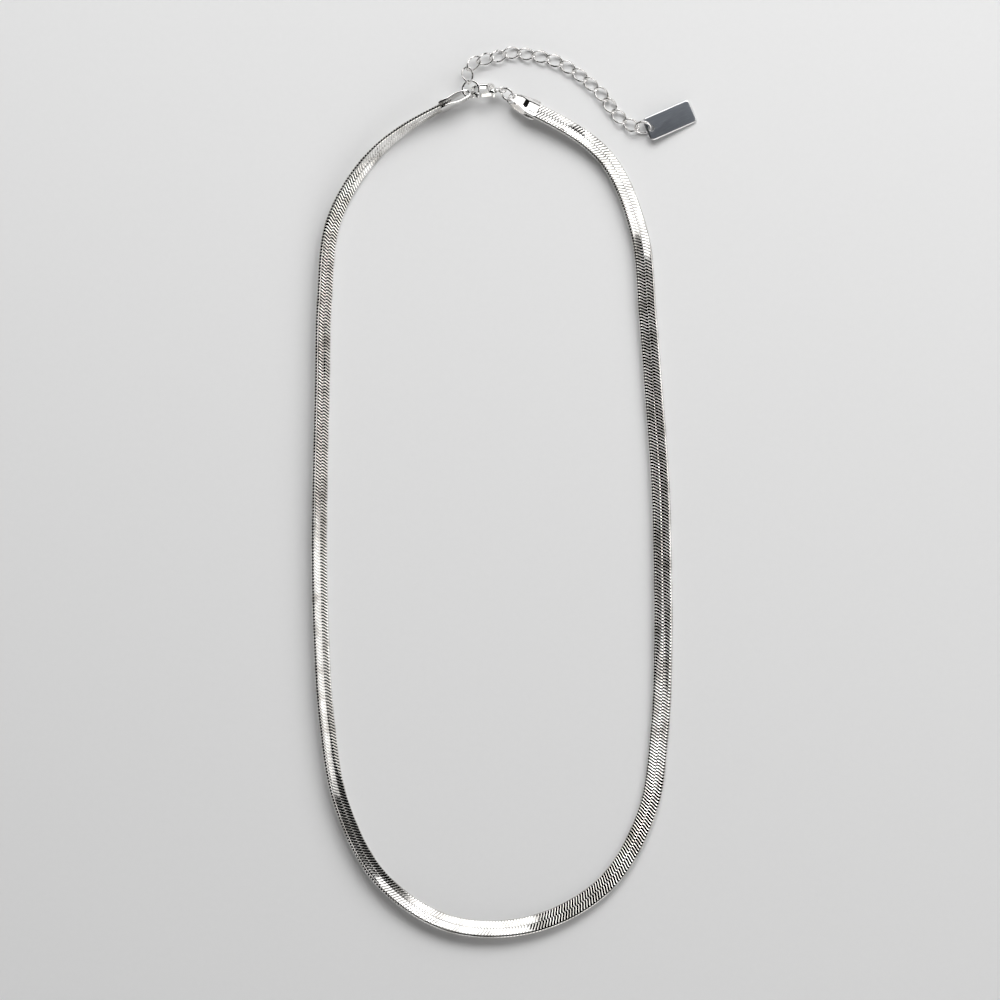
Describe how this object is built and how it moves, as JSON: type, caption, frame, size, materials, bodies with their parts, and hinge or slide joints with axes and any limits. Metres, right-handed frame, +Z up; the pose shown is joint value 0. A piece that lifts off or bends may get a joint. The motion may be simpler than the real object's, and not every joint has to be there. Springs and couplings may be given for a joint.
{
  "type": "snake chain necklace",
  "caption": "Flat snake chain necklace lying closed, with tapered end caps, a lobster clasp, an extender of twisted curb links and a plain oblong tag.",
  "frame": {"origin": "middle of the whole necklace's footprint, on the surface that it lies on", "axes": "+Z up from the surface, +Y along the loop to the clasp's end, +X across the loop to the tag's side"},
  "size_m": [0.0768, 0.1782, 0.0044],
  "materials": {
    "chain": "polished silver, bright and smooth",
    "findings": "polished silver of the caps, rings and extender links",
    "clasp": "polished silver casting with soft edges",
    "tag": "finely brushed sheet with a bright edge"
  },
  "bodies": {
    "necklace": {"snake_chain": "chain", "end_cap_left": "findings", "end_cap_right": "findings", "hook_ring": "findings", "clasp_ring": "findings", "clasp_body": "clasp", "clasp_pin": "clasp", "tag_ring": "findings", "tag": "tag", "extender_link_01": "findings", "extender_link_02": "findings", "extender_link_03": "findings", "extender_link_04": "findings", "extender_link_05": "findings", "extender_link_06": "findings", "extender_link_07": "findings", "extender_link_08": "findings", "extender_link_09": "findings", "extender_link_10": "findings", "extender_link_11": "findings", "extender_link_12": "findings", "extender_link_13": "findings", "extender_link_14": "findings", "extender_link_15": "findings"},
    "lever": {"clasp_lever": "clasp"}
  },
  "joints": [
    {"name": "lever_pivot", "type": "hinge", "parent": "necklace", "child": "lever", "pos_m": [-0.00229, 0.07983, 0.00265], "axis": [-0.0309, -0.7612, -0.6478], "range_deg": [0, 18], "stiffness_Nm_per_rad": 0.00002, "springref_deg": -11.46}
  ]
}
